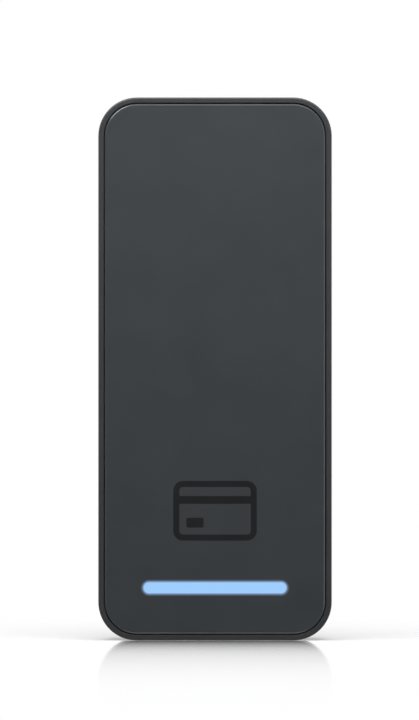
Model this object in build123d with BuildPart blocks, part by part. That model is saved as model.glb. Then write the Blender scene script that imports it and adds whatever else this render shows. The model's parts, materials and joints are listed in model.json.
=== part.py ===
"""RFID card reader for a wall: a flat-faced housing with a light bar, hung on a steel bracket.

X runs to the right, Z up and -Y towards the person who holds the card. The origin is on the
wall plane, in the middle of the reader. Every depth is a distance from the wall, so the
front panel has the largest. Sizes are in millimetres.
"""

from build123d import *
import os

# Overall sizes of the reader on its bracket.
width = 57.0
height = 132.6
depth = 17.4
corner_radius = 9.4

# Housing: an open-backed tub with a bezel round its face.
housing_wall = 1.8
front_wall = 1.5
rear_reveal = 0.6
rear_break = 0.5
bezel_width = 1.4
bezel_outer_round = 0.45
bezel_inner_break = 0.15

# Front panel, bonded into the bezel.
panel_thickness = 1.0
panel_gap = 0.2
panel_proud = 0.2
panel_bevel = 0.35
adhesive_thickness = 0.2
adhesive_inset = 1.0

# Card symbol: a thin inlay in the panel, an outlined card with its stripe and its chip.
symbol_from_bottom = 31.7
symbol_width = 20.4
symbol_height = 14.6
symbol_corner = 2.4
symbol_line = 1.5
symbol_stripe_from_top = 3.7
symbol_stripe = 1.9
symbol_chip_width = 4.2
symbol_chip_height = 2.4
symbol_chip_inset = 3.2
symbol_depth = 0.25

# Light bar near the bottom of the face.
bar_side_room = 10.9
bar_height = 3.0
bar_from_bottom = 12.9
lens_clearance = 0.04
lens_sunk = 0.05
lens_flange = 1.2
lens_flange_thickness = 1.0
diffuser_thickness = 0.2
reflector_height = 3.1
light_post_room = 7.3
light_board_width = 6.4
light_board_thickness = 0.8
light_post_land = 2.2
light_post_radius = 1.7
light_screw_length = 3.4
led_count = 8
led_length = 1.6
led_width = 0.8
led_height = 0.6

# Wall bracket: one sheet of steel with four hooks and a lock tab bent out of it.
sheet = 1.2
bracket_side_gap = 1.0
bracket_top_gap = 0.8
bracket_bottom_gap = 0.8
bracket_break = 0.15
hook_side_room = 14.0
hook_top_room = 20.3
hook_bottom_room = 22.3
hook_width = 8.0
hook_lip = 3.2
hook_gap = 0.4
hook_window = 8.0
hook_relief = 0.3
hook_slot_play = 0.5
hook_corner = 1.0
bend_inside = 0.35
lift = 4.0
window_side_room = 17.5
window_below_pocket_top = 6.5
window_above_pocket_bottom = 2.5
window_corner = 3.0
screw_spacing = 83.3
screw_slot_radius = 2.2
screw_slot_length = 5.4
tab_width = 10.0
tab_reach = 8.0
tab_rise = 10.5
tab_play = 0.6
tab_corner = 1.0

# Rear cover: closes the housing, and holds the cable pocket and the main board.
bracket_gap = 0.4
cover_thickness = 1.8
cover_play = 0.15
cover_break = 0.3
gasket_thickness = 0.8
gasket_inset = 0.3
gasket_width = 1.0
shelf_width = 1.5
shelf_thickness = 1.8
pocket_side_room = 15.5
pocket_top = 2.0
pocket_bottom_room = 33.3
pocket_corner = 2.5
pocket_floor = 12.4
pocket_floor_wall = 0.8
pocket_wall = 1.2
small_wall = 0.8
seal_inset = 0.4
seal_width = 1.8
seal_thickness = 0.3
head_recess_radius = 4.1
head_recess_depth = 2.6
label_width = 22.0
label_height = 9.0
label_above_pocket = 9.0
label_thickness = 0.1
vent_x = -11.5
vent_z = 34.0
vent_radius = 2.5
vent_hole_radius = 1.0
vent_thickness = 0.2

# Screws that close the case, and the bosses they go into.
boss_inset = 7.2
boss_radius = 2.2
boss_back = 5.0
pad_radius = 2.4
screw_radius = 1.0
screw_hole_spare = 0.5
screw_clearance = 0.15
cover_screw_length = 6.0
head_radius = 1.9
head_height = 1.4
head_bore_radius = 2.05
head_bore_depth = 1.6

# Main board and what stands on it.
board_thickness = 1.2
board_gap = 3.0
board_top_room = 4.8
board_above_pocket = 2.5
board_clearance = 0.3
board_corner = 1.2
post_radius = 2.2
post_inset = 2.8
post_from_board_top = 3.9
post_from_board_bottom = 8.5
board_screw_length = 3.4

# Antenna behind the front wall.
antenna_board_thickness = 0.8
antenna_top_room = 6.3
antenna_bottom_room = 36.3
coil_turns = 5
coil_pitch = 1.1
coil_track = 0.6
coil_thickness = 0.1
coil_margin = 1.0
coil_corner = 1.2
ferrite_thickness = 0.3
ferrite_margin = 0.6
pin_count = 4
pin_pitch = 2.0
pin_radius = 0.35
pin_z = 37.6
pin_block_width = 9.4
pin_block_height = 2.4
pin_block_depth = 2.0
pin_sleeve = 3.6
pin_slot = 1.0

# Network jack: a shielded eight-contact socket that opens downwards into the cable pocket.
jack_width = 16.0
jack_length = 15.0
jack_back = 3.5
jack_front = 13.2
jack_shell_wall = 0.35
jack_seal_thickness = 0.6
jack_port_play = 0.6
socket_width = 11.9
socket_depth = 13.0
socket_back = 5.7
socket_front = 12.4
latch_width = 6.4
latch_back = 4.3
contact_count = 8
contact_pitch = 1.02
contact_width = 0.35
contact_thickness = 0.25
jack_wing = 1.2
jack_wing_height = 2.0
jack_wing_pitch = 6.0

# Lock screw, driven up from below against the bracket's tab.
lock_axis = 5.0
lock_radius = 1.5
lock_running = 0.05
lock_length = 8.0
lock_head_radius = 2.75
lock_head_height = 2.0
lock_head_play = 0.15
lock_head_sunk = 0.3
lock_boss_height = 6.0
lock_box_wall = 1.2
lock_insert_radius = 2.2
lock_tip_break = 0.5
lock_head_break = 0.3
drive_radius = 1.15
drive_lobe = 0.42
drive_depth = 1.2
drive_pin_radius = 0.32
drive_pin_height = 0.9
oring_radius = 0.24
oring_groove_depth = 0.36
oring_rise = 1.0

# Tamper plunger: sprung against the wall through the bracket.
plunger_x = 11.5
plunger_z = 28.5
plunger_radius = 1.3
plunger_running = 0.08
plunger_flange_radius = 1.95
plunger_flange = 0.8
plunger_travel = 2.0
plunger_short_of_wall = 0.1
plunger_tip_round = 0.4
plunger_slot_play = 0.7
plunger_board_play = 0.4
tamper_body = 6.0
tamper_body_depth = 5.4
tamper_bore_radius = 2.15
tamper_cap = 0.6
spring_wire = 0.3
spring_radius = 1.45
spring_turns = 4

# Reset button in the back of the reader.
reset_x = -10.5
reset_z = 27.0
reset_radius = 1.5
reset_running = 0.08
reset_flange_radius = 2.2
reset_flange = 0.6
reset_sunk = 0.3
reset_travel = 0.4
reset_stem_radius = 0.85
reset_stem_bore = 0.92
reset_stem_length = 0.8
reset_nub = 0.5
reset_access_radius = 3.0
reset_switch = 3.6
reset_switch_height = 1.5

# Sounder and its holes in the bottom wall.
sounder_from_post = 8.0
sounder_width = 10.0
sounder_height = 6.4
sounder_thickness = 3.4
sound_hole_radius = 0.6
sound_hole_pitch = 2.2
sound_hole_count = 3
sound_mesh_thickness = 0.2
sound_hole_forward = 11.0
sound_mesh_margin = 1.6

# Ribbon from the main board to the light board.
ribbon_from_boss = 4.65
ribbon_width = 4.0
ribbon_thickness = 0.2
connector_width = 4.8
connector_length = 3.4
connector_height = 1.2
connector_sunk = 0.5
connector_grip = 1.0
ribbon_lead = 4.0

# Places that follow from the sizes above.
bottom = -height / 2
tab_z = bottom + tab_rise
hook_upper_z = height / 2 - hook_top_room
hook_lower_z = bottom + hook_bottom_room
pocket_bottom = bottom + pocket_bottom_room
window_top = pocket_top - window_below_pocket_top
window_height = window_top - pocket_bottom - window_above_pocket_bottom
label_z = pocket_top + label_above_pocket
board_top = height / 2 - board_top_room
board_bottom = pocket_top + board_above_pocket
post_upper_z = board_top - post_from_board_top
post_lower_z = board_bottom + post_from_board_bottom
antenna_top = height / 2 - antenna_top_room
antenna_bottom = bottom + antenna_bottom_room
bar_length = width - 2 * bar_side_room
light_post_x = width / 2 - light_post_room
light_board_length = 2 * (light_post_x + light_post_land)
hook_x = width / 2 - hook_side_room
window_width = width - 2 * window_side_room
pocket_width = width - 2 * pocket_side_room
sounder_x = sounder_from_post - light_post_x
cover_back = sheet + bracket_gap
cover_inner = cover_back + cover_thickness
shelf_back = cover_inner + gasket_thickness
board_back = cover_inner + board_gap
board_front = board_back + board_thickness
bezel_face = depth - panel_proud
panel_back = depth - panel_thickness
front_outer = panel_back - adhesive_thickness
front_inner = front_outer - front_wall
coil_back = front_inner - antenna_board_thickness - coil_thickness
ferrite_back = coil_back - ferrite_thickness
bar_z = bar_from_bottom - height / 2
symbol_z = symbol_from_bottom - height / 2
inner_width = width - 2 * housing_wall
inner_height = height - 2 * housing_wall
inner_radius = corner_radius - housing_wall
panel_inset = bezel_width + panel_gap
panel_width = width - 2 * panel_inset
panel_height = height - 2 * panel_inset
panel_radius = corner_radius - panel_inset
boss_x = width / 2 - boss_inset
boss_z = height / 2 - boss_inset
boss_points = [(x, z) for x in (-boss_x, boss_x) for z in (-boss_z, 0, boss_z)]
board_half = boss_x - pad_radius - board_clearance
post_x = board_half - post_inset
ribbon_x = boss_x - ribbon_from_boss
post_points = [(x, z) for x in (-post_x, post_x) for z in (post_lower_z, post_upper_z)]
hook_points = [(x, z) for x in (-hook_x, hook_x) for z in (hook_lower_z, hook_upper_z)]
light_posts = [(-light_post_x, bar_z), (light_post_x, bar_z)]
cover_screw_end = cover_back + head_bore_depth + cover_screw_length
sound_middle = (sound_hole_count - 1) / 2
sound_holes = [
    (sounder_x + (i - sound_middle) * sound_hole_pitch, -sound_hole_forward)
    for i in range(sound_hole_count)
]
lens_flange_back = front_inner - lens_flange_thickness
diffuser_back = lens_flange_back - diffuser_thickness
light_board_front = diffuser_back - reflector_height
light_board_back = light_board_front - light_board_thickness
hook_inside = cover_back + sheet + hook_gap
hook_front = hook_inside + sheet
hook_floor = hook_front + hook_gap
recess_floor = cover_back + head_recess_depth
lock_seat = bottom + lock_head_sunk + lock_head_height
lock_boss_top = bottom + lock_boss_height
lock_box_half = tab_width / 2 + tab_play + lock_box_wall
lock_box_top = tab_z + sheet + tab_play + lock_box_wall
lock_box_front = tab_reach + tab_play + small_wall
jack_face = pocket_top + pocket_wall + jack_seal_thickness
jack_end = jack_face + jack_length
plunger_flange_back = board_front + plunger_travel
plunger_flange_front = plunger_flange_back + plunger_flange
tamper_front = board_front + tamper_body_depth
reset_switch_back = board_back - reset_switch_height


def level(distance):
    """The plane that far from the wall, with X right and Z up, extruding to the front."""
    return Plane.XZ.offset(distance)


def opening_outline(inset):
    """The housing's rear opening, stepped round the lock box, taken in by an inset."""
    with BuildSketch() as outline:
        RectangleRounded(inner_width, inner_height, inner_radius)
        box_height = lock_box_top + inner_height / 2
        with Locations((0, lock_box_top - box_height / 2)):
            Rectangle(2 * lock_box_half, box_height, mode=Mode.SUBTRACT)
        if inset:
            offset(amount=-inset, kind=Kind.INTERSECTION)
    return outline.sketch


def at_points(sketch, points):
    """The sketch's corners that are nearest the given points."""
    corners = sketch.vertices()
    return [min(corners, key=lambda v: (v.X - x) ** 2 + (v.Y - y) ** 2) for x, y in points]


def symbol_outline():
    """The card symbol: a rounded frame crossed by a stripe, with a chip below it."""
    with BuildSketch() as outline:
        with Locations((0, symbol_z)):
            RectangleRounded(symbol_width, symbol_height, symbol_corner)
            inside = 2 * symbol_line
            RectangleRounded(
                symbol_width - inside,
                symbol_height - inside,
                symbol_corner - symbol_line,
                mode=Mode.SUBTRACT,
            )
        stripe_z = symbol_z + symbol_height / 2 - symbol_stripe_from_top - symbol_stripe / 2
        with Locations((0, stripe_z)):
            Rectangle(symbol_width - symbol_line, symbol_stripe)
        chip_x = -symbol_width / 2 + symbol_chip_inset + symbol_chip_width / 2
        chip_z = symbol_z - symbol_height / 2 + symbol_chip_inset + symbol_chip_height / 2
        with Locations((chip_x, chip_z)):
            RectangleRounded(symbol_chip_width, symbol_chip_height, 0.4)
    return outline.sketch


def ring(outer, inner, back, front):
    """A band between two sketches, from one depth to another."""
    with BuildPart() as band:
        with BuildSketch(level(back)):
            add(outer)
            add(inner, mode=Mode.SUBTRACT)
        extrude(amount=front - back)
    return band.part


def block(x, z, wide, tall, back, front, corner=0.2, edge=0.1):
    """A moulded block with rounded corners and a broken front edge."""
    with BuildPart() as piece:
        with BuildSketch(level(back)):
            with Locations((x, z)):
                RectangleRounded(wide, tall, corner)
        extrude(amount=front - back)
        chamfer(piece.faces().sort_by(Axis.Y)[0].edges(), edge)
    return piece.part


def pan_screw(x, z, seat, length, towards_front):
    """A pan-head screw whose head seats at a depth, with a cross recess in the head."""
    start = level(seat) if towards_front else -level(seat)
    place = (x, z) if towards_front else (x, -z)
    with BuildPart() as screw:
        with BuildSketch(start):
            with Locations(place):
                Circle(screw_radius)
        extrude(amount=length)
        with BuildSketch(start):
            with Locations(place):
                Circle(head_radius)
        extrude(amount=-head_height)
        top = screw.faces().sort_by(Axis.Y)[-1 if towards_front else 0]
        fillet(top.edges(), head_height * 0.3)
        with BuildSketch(start.offset(-head_height)):
            with Locations(place):
                Rectangle(head_radius * 1.2, head_radius * 0.28)
                Rectangle(head_radius * 0.28, head_radius * 1.2)
        extrude(amount=head_height * 0.55, mode=Mode.SUBTRACT)
    return screw.part


# Wall bracket.
bend_outside = bend_inside + sheet
bracket_width = inner_width - 2 * bracket_side_gap
bracket_top = inner_height / 2 - bracket_top_gap
bracket_low = -inner_height / 2 + lift + bracket_bottom_gap
bracket_corner = inner_radius - bracket_side_gap
with BuildPart() as wall_bracket:
    with BuildSketch(level(0)):
        with Locations((0, (bracket_top + bracket_low) / 2)):
            RectangleRounded(bracket_width, bracket_top - bracket_low, bracket_corner)
        with Locations((0, window_top - window_height / 2)):
            RectangleRounded(window_width, window_height, window_corner, mode=Mode.SUBTRACT)
        with Locations((0, -screw_spacing / 2), (0, screw_spacing / 2)):
            SlotOverall(screw_slot_length, 2 * screw_slot_radius, rotation=90, mode=Mode.SUBTRACT)
        slot_width = 2 * (plunger_radius + plunger_slot_play)
        with Locations((plunger_x, plunger_z + lift / 2)):
            SlotOverall(lift + slot_width, slot_width, rotation=90, mode=Mode.SUBTRACT)
        with Locations((reset_x, reset_z)):
            Circle(reset_access_radius, mode=Mode.SUBTRACT)
        relief_width = hook_width + 2 * hook_relief
        for hook_at, hook_z in hook_points:
            low = hook_z - sheet - hook_window
            high = hook_z + bend_inside
            with Locations((hook_at, (low + high) / 2)):
                Rectangle(relief_width, high - low, mode=Mode.SUBTRACT)
        notch_top = tab_z + sheet + bend_inside
        with Locations((0, (notch_top + bracket_low) / 2)):
            Rectangle(tab_width + 2 * hook_relief, notch_top - bracket_low, mode=Mode.SUBTRACT)
    extrude(amount=sheet)
    for hook_at, hook_z in hook_points:
        with BuildSketch(Plane.YZ.offset(hook_at - hook_width / 2)) as profile:
            with BuildLine():
                Polyline(
                    (0, hook_z + bend_outside),
                    (0, hook_z - sheet),
                    (-hook_front, hook_z - sheet),
                    (-hook_front, hook_z + hook_lip),
                    (-hook_inside, hook_z + hook_lip),
                    (-hook_inside, hook_z),
                    (-sheet, hook_z),
                    (-sheet, hook_z + bend_outside),
                    close=True,
                )
            make_face()
            outer = [(0, hook_z - sheet), (-hook_front, hook_z - sheet)]
            inner = [(-hook_inside, hook_z), (-sheet, hook_z)]
            fillet(at_points(profile, outer), bend_outside)
            fillet(at_points(profile, inner), bend_inside)
        extrude(amount=hook_width)
    with BuildSketch(Plane.YZ.offset(-tab_width / 2)) as profile:
        with BuildLine():
            Polyline(
                (0, tab_z + sheet + bend_outside),
                (0, tab_z),
                (-tab_reach, tab_z),
                (-tab_reach, tab_z + sheet),
                (-sheet, tab_z + sheet),
                (-sheet, tab_z + sheet + bend_outside),
                close=True,
            )
        make_face()
        fillet(at_points(profile, [(0, tab_z)]), bend_outside)
        fillet(at_points(profile, [(-sheet, tab_z + sheet)]), bend_inside)
    extrude(amount=tab_width)
    fillet(wall_bracket.edges().filter_by(Axis.Z).group_by(Axis.Y)[0], tab_corner)
    for lip_z in (hook_lower_z + hook_lip, hook_upper_z + hook_lip):
        across = wall_bracket.edges().filter_by(Axis.Y)
        fillet(across.filter_by_position(Axis.Z, lip_z - 0.01, lip_z + 0.01), hook_corner)

# Housing.
with BuildPart() as housing:
    with BuildSketch(level(rear_reveal)):
        RectangleRounded(width, height, corner_radius)
    extrude(amount=bezel_face - rear_reveal)
    fillet(housing.faces().sort_by(Axis.Y)[0].edges(), bezel_outer_round)
    chamfer(housing.faces().sort_by(Axis.Y)[-1].edges(), rear_break)
    with BuildSketch(level(rear_reveal)):
        RectangleRounded(inner_width, inner_height, inner_radius)
    extrude(amount=front_inner - rear_reveal, mode=Mode.SUBTRACT)
    with BuildSketch(level(front_outer)):
        RectangleRounded(width - 2 * bezel_width, height - 2 * bezel_width, corner_radius - bezel_width)
    extrude(amount=bezel_face - front_outer, mode=Mode.SUBTRACT)
    chamfer(housing.faces().sort_by(Axis.Y)[0].inner_wires()[0].edges(), bezel_inner_break)
    with BuildSketch(level(cover_back)):
        box_height = lock_box_top - bottom - housing_wall / 2
        with Locations((0, lock_box_top - box_height / 2)):
            Rectangle(2 * lock_box_half, box_height)
    extrude(amount=lock_box_front - cover_back)
    with BuildSketch(level(shelf_back)):
        add(opening_outline(0))
        add(opening_outline(shelf_width), mode=Mode.SUBTRACT)
    extrude(amount=shelf_thickness)
    with BuildSketch(level(boss_back)):
        with Locations(*boss_points):
            Circle(boss_radius)
    extrude(amount=front_inner - boss_back)
    with BuildSketch(level(light_board_front)):
        with Locations(*light_posts):
            Circle(light_post_radius)
    extrude(amount=front_inner - light_board_front)
    with BuildSketch(level(boss_back)):
        with Locations(*boss_points):
            Circle(screw_radius)
    extrude(amount=cover_screw_end + screw_hole_spare - boss_back, mode=Mode.SUBTRACT)
    with BuildSketch(level(light_board_front)):
        with Locations(*light_posts):
            Circle(screw_radius)
    extrude(amount=light_screw_length - light_board_thickness + screw_hole_spare, mode=Mode.SUBTRACT)
    with BuildSketch(level(front_inner)):
        with Locations((0, bar_z)):
            SlotOverall(bar_length + 2 * lens_clearance, bar_height + 2 * lens_clearance)
    extrude(amount=front_wall, mode=Mode.SUBTRACT)
    with BuildSketch(level(cover_back)):
        cavity_top = tab_z + sheet + tab_play
        with Locations((0, (cavity_top + lock_boss_top) / 2)):
            Rectangle(tab_width + 2 * tab_play, cavity_top - lock_boss_top)
    extrude(amount=tab_reach + tab_play - cover_back, mode=Mode.SUBTRACT)
    with BuildSketch(Plane.XY.offset(bottom)):
        with Locations((0, -lock_axis)):
            Circle(lock_head_radius + lock_head_play)
    extrude(amount=lock_seat - bottom, mode=Mode.SUBTRACT)
    with BuildSketch(Plane.XY.offset(lock_seat)):
        with Locations((0, -lock_axis)):
            Circle(lock_insert_radius)
    extrude(amount=lock_boss_top - lock_seat, mode=Mode.SUBTRACT)
    with BuildSketch(Plane.XY.offset(bottom)):
        with Locations(*sound_holes):
            Circle(sound_hole_radius)
    extrude(amount=housing_wall, mode=Mode.SUBTRACT)

# Front panel, its adhesive and the inlay.
with BuildPart() as front_panel:
    with BuildSketch(level(panel_back)):
        RectangleRounded(panel_width, panel_height, panel_radius)
    extrude(amount=panel_thickness)
    chamfer(front_panel.faces().sort_by(Axis.Y)[0].edges(), panel_bevel)
    with BuildSketch(level(panel_back)):
        with Locations((0, bar_z)):
            SlotOverall(bar_length + 2 * lens_clearance, bar_height + 2 * lens_clearance)
    extrude(amount=panel_thickness, mode=Mode.SUBTRACT)
    with BuildSketch(level(depth - symbol_depth)):
        add(symbol_outline())
    extrude(amount=symbol_depth, mode=Mode.SUBTRACT)

with BuildPart() as card_symbol:
    with BuildSketch(level(depth - symbol_depth)):
        add(symbol_outline())
    extrude(amount=symbol_depth)

with BuildPart() as panel_adhesive:
    with BuildSketch(level(front_outer)):
        taken_in = 2 * adhesive_inset
        RectangleRounded(panel_width - taken_in, panel_height - taken_in, panel_radius - adhesive_inset)
        with Locations((0, bar_z)):
            SlotOverall(bar_length + adhesive_inset, bar_height + adhesive_inset, mode=Mode.SUBTRACT)
    extrude(amount=adhesive_thickness)

# Light bar: lens, diffuser, reflector and the board with its lamps.
with BuildPart() as light_bar_lens:
    with BuildSketch(level(lens_flange_back)):
        with Locations((0, bar_z)):
            SlotOverall(bar_length + 2 * lens_flange, bar_height + 2 * lens_flange)
    extrude(amount=lens_flange_thickness)
    with BuildSketch(level(front_inner)):
        with Locations((0, bar_z)):
            SlotOverall(bar_length, bar_height)
    extrude(amount=depth - lens_sunk - front_inner)

with BuildPart() as light_diffuser:
    with BuildSketch(level(diffuser_back)):
        with Locations((0, bar_z)):
            SlotOverall(bar_length + 2 * lens_flange, bar_height + 2 * lens_flange)
    extrude(amount=diffuser_thickness)

with BuildPart() as light_reflector:
    with BuildSketch(level(light_board_front)):
        with Locations((0, bar_z)):
            SlotOverall(bar_length + 2 * lens_flange, bar_height + 2 * lens_flange)
            SlotOverall(bar_length, bar_height, mode=Mode.SUBTRACT)
    extrude(amount=reflector_height)

with BuildPart() as light_board:
    with BuildSketch(level(light_board_back)):
        with Locations((0, bar_z)):
            RectangleRounded(light_board_length, light_board_width, board_corner)
        with Locations(*light_posts):
            Circle(screw_radius + screw_clearance, mode=Mode.SUBTRACT)
    extrude(amount=light_board_thickness)

led_pitch = (bar_length - bar_height) / led_count
led_points = [((i - (led_count - 1) / 2) * led_pitch, bar_z) for i in range(led_count)]
with BuildPart() as light_board_leds:
    with BuildSketch(level(light_board_front)):
        with Locations(*led_points):
            Rectangle(led_length, led_width)
    extrude(amount=led_height)

with BuildPart() as light_board_screws:
    for x, z in light_posts:
        add(pan_screw(x, z, light_board_back, light_screw_length, True))

# Antenna board, its coil and the ferrite behind them.
antenna_middle = (antenna_top + antenna_bottom) / 2
antenna_height = antenna_top - antenna_bottom
with BuildPart() as antenna_board:
    with BuildSketch(level(front_inner - antenna_board_thickness)):
        with Locations((0, antenna_middle)):
            RectangleRounded(2 * board_half, antenna_height, board_corner)
    extrude(amount=antenna_board_thickness)

coil_half = coil_track / 2
coil_outer = []
coil_inner = []
for turn in range(coil_turns):
    side = board_half - coil_margin - turn * coil_pitch
    top = antenna_top - coil_margin - turn * coil_pitch
    low = antenna_bottom + coil_margin + turn * coil_pitch
    legs = [(-side, low, -1, -1), (-side, top, -1, 1), (side, top, 1, 1), (side, low + coil_pitch, 1, -1)]
    coil_outer += [(x + right * coil_half, z + up * coil_half) for x, z, right, up in legs]
    coil_inner += [(x - right * coil_half, z - up * coil_half) for x, z, right, up in legs]
coil_start = antenna_bottom + coil_margin
coil_outer[0] = (coil_outer[0][0], coil_start)
coil_inner[0] = (coil_inner[0][0], coil_start)
with BuildPart() as antenna_coil:
    with BuildSketch(level(coil_back)) as spiral:
        with BuildLine():
            Polyline(*coil_outer, *reversed(coil_inner), close=True)
        make_face()
        fillet(at_points(spiral, coil_outer[1:-1]), coil_corner + coil_half)
        fillet(at_points(spiral, coil_inner[1:-1]), coil_corner - coil_half)
    extrude(amount=coil_thickness)

with BuildPart() as ferrite_sheet:
    with BuildSketch(level(ferrite_back)):
        with Locations((0, antenna_middle)):
            RectangleRounded(
                2 * (board_half - ferrite_margin),
                antenna_height - 2 * ferrite_margin,
                board_corner,
            )
        with Locations((0, pin_z)):
            Rectangle(pin_block_width, pin_block_height, mode=Mode.SUBTRACT)
    extrude(amount=ferrite_thickness)

with BuildPart() as antenna_pin_block:
    with BuildSketch(level(board_front)):
        with Locations((0, pin_z)):
            Rectangle(pin_block_width, pin_block_height)
            Rectangle(pin_pitch * pin_count - pin_pitch / 2, pin_slot, mode=Mode.SUBTRACT)
    extrude(amount=pin_block_depth)

pin_points = [((i - (pin_count - 1) / 2) * pin_pitch, pin_z) for i in range(pin_count)]
with BuildPart() as antenna_pins:
    with BuildSketch(level(board_front)):
        with Locations(*pin_points):
            Circle(pin_slot / 2)
    extrude(amount=pin_sleeve)
    with BuildSketch(level(board_front)):
        with Locations(*pin_points):
            Circle(pin_radius)
    extrude(amount=front_inner - antenna_board_thickness - board_front)

# Main board and the pieces soldered to it.
with BuildPart() as main_board:
    with BuildSketch(level(board_back)):
        with Locations((0, (board_top + board_bottom) / 2)):
            RectangleRounded(2 * board_half, board_top - board_bottom, board_corner)
        cut_top = jack_end + board_clearance
        cut_height = cut_top - board_bottom + board_corner
        with Locations((0, cut_top - cut_height / 2)):
            Rectangle(jack_width + 2 * board_clearance, cut_height, mode=Mode.SUBTRACT)
        with Locations(*post_points):
            Circle(screw_radius + screw_clearance, mode=Mode.SUBTRACT)
        with Locations((plunger_x, plunger_z)):
            Circle(plunger_radius + plunger_board_play, mode=Mode.SUBTRACT)
    extrude(amount=board_thickness)

with BuildPart() as board_screws:
    for x, z in post_points:
        add(pan_screw(x, z, board_front, board_screw_length, False))

processor = block(10.0, board_top - 13.5, 10.0, 10.0, board_front, board_front + 0.9)
reader_chip = block(-11.0, 36.5, 5.0, 5.0, board_front, board_front + 0.85)
crystal = block(5.4, board_top - 5.3, 3.2, 2.5, board_front, board_front + 0.8)
bluetooth_antenna = block(-2.0, board_top - 2.1, 6.5, 2.0, board_front, board_front + 1.1)
power_inductor = block(-13.6, 22.2, 6.0, 6.0, board_front, board_front + 3.0, 1.0)

with BuildPart() as support_chips:
    for x, z, wide, tall, high in (
        (-12.4, 29.6, 4.0, 4.0, 0.85),
        (-4.4, 32.2, 5.0, 3.9, 1.5),
        (3.6, 32.2, 3.0, 3.0, 0.8),
        (14.4, 36.6, 4.0, 3.0, 1.1),
        (-14.9, board_top - 15.0, 2.4, 2.9, 1.0),
    ):
        add(block(x, z, wide, tall, board_front, board_front + high))

with BuildPart() as poe_transformer:
    add(block(0, 24.6, 11.0, 8.4, board_front, board_front + 1.3, 0.5))
    add(block(0, 24.6, 7.4, 8.4, board_front + 1.3, board_front + 4.9, 0.5))
    for side in (-1, 1):
        add(block(side * 4.9, 24.6, 1.2, 8.4, board_front + 1.3, board_front + 4.2, 0.3))

with BuildPart() as capacitors:
    for x in (10.7, 15.6):
        with BuildSketch(level(board_front)):
            with Locations((x, 20.7)):
                Rectangle(4.3, 4.3)
        extrude(amount=0.5)
        with BuildSketch(level(board_front + 0.5)):
            with Locations((x, 20.7)):
                Circle(2.0)
        extrude(amount=4.2)

with BuildPart() as radio_shield:
    with BuildSketch(level(board_front)):
        with Locations((-5.0, board_top - 11.9)):
            RectangleRounded(15.0, 13.0, 0.5)
            RectangleRounded(14.6, 12.6, 0.3, mode=Mode.SUBTRACT)
    extrude(amount=1.6)
    with BuildSketch(level(board_front + 1.6)):
        with Locations((-5.0, board_top - 11.9)):
            RectangleRounded(15.0, 13.0, 0.5)
            with GridLocations(3.0, 3.0, 4, 3):
                Circle(0.45, mode=Mode.SUBTRACT)
    extrude(amount=0.2)

passive_rows = [(-13.5 + 1.8 * i, 40.9) for i in range(16)]
passive_columns = [(side * (board_half - 1.3), 26.0 + 2.0 * i) for side in (-1, 1) for i in range(13)]
with BuildPart() as chip_passives:
    with BuildSketch(level(board_front)):
        with Locations(*passive_rows):
            Rectangle(0.6, 1.0)
        with Locations(*passive_columns):
            Rectangle(1.0, 0.6)
    extrude(amount=0.5)

# Network jack: shell, moulded insert, contacts and the seal against the pocket.
jack_middle = (jack_back + jack_front) / 2
jack_deep = jack_front - jack_back
wing_low = jack_face + 3.0
with BuildPart() as network_jack:
    with BuildSketch(Plane.XY.offset(jack_face)):
        with Locations((0, -jack_middle)):
            Rectangle(jack_width, jack_deep)
    extrude(amount=jack_length)
    with BuildSketch(Plane.XY.offset(jack_face)):
        with Locations((0, -jack_middle)):
            Rectangle(jack_width - 2 * jack_shell_wall, jack_deep - 2 * jack_shell_wall)
    extrude(amount=jack_length - jack_shell_wall, mode=Mode.SUBTRACT)
    with BuildSketch(level(board_front)):
        for side in (-1, 1):
            for rise in (0, jack_wing_pitch):
                with Locations((side * (jack_width / 2 + jack_wing / 2), wing_low + rise)):
                    Rectangle(jack_wing, jack_wing_height)
    extrude(amount=jack_shell_wall)

with BuildPart() as network_jack_insert:
    with BuildSketch(Plane.XY.offset(jack_face)):
        with Locations((0, -jack_middle)):
            Rectangle(jack_width - 2 * jack_shell_wall, jack_deep - 2 * jack_shell_wall)
    extrude(amount=jack_length - jack_shell_wall)
    with BuildSketch(Plane.XY.offset(jack_face)):
        with Locations((0, -(socket_back + socket_front) / 2)):
            Rectangle(socket_width, socket_front - socket_back)
        with Locations((0, -(latch_back + socket_back) / 2)):
            Rectangle(latch_width, socket_back - latch_back)
    extrude(amount=socket_depth, mode=Mode.SUBTRACT)

with BuildPart() as network_jack_contacts:
    for i in range(contact_count):
        x = (i - (contact_count - 1) / 2) * contact_pitch
        with BuildSketch(Plane.YZ.offset(x - contact_width / 2)):
            with BuildLine():
                Polyline(
                    (-socket_front, jack_face + 2.0),
                    (-socket_front, jack_face + 3.4),
                    (-socket_front + 2.4, jack_face + 10.4),
                    (-socket_front + 2.4 + contact_thickness, jack_face + 10.4),
                    (-socket_front + contact_thickness, jack_face + 2.6),
                    (-socket_front + contact_thickness, jack_face + 2.0),
                    close=True,
                )
            make_face()
        extrude(amount=contact_width)

port_width = socket_width + 2 * jack_port_play
port_back = latch_back - jack_port_play / 2
with BuildPart() as network_jack_seal:
    with BuildSketch(Plane.XY.offset(jack_face - jack_seal_thickness)):
        with Locations((0, -jack_middle)):
            Rectangle(jack_width, jack_deep)
        with Locations((0, -(port_back + pocket_floor) / 2)):
            Rectangle(port_width, pocket_floor - port_back, mode=Mode.SUBTRACT)
    extrude(amount=jack_seal_thickness)

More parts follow.
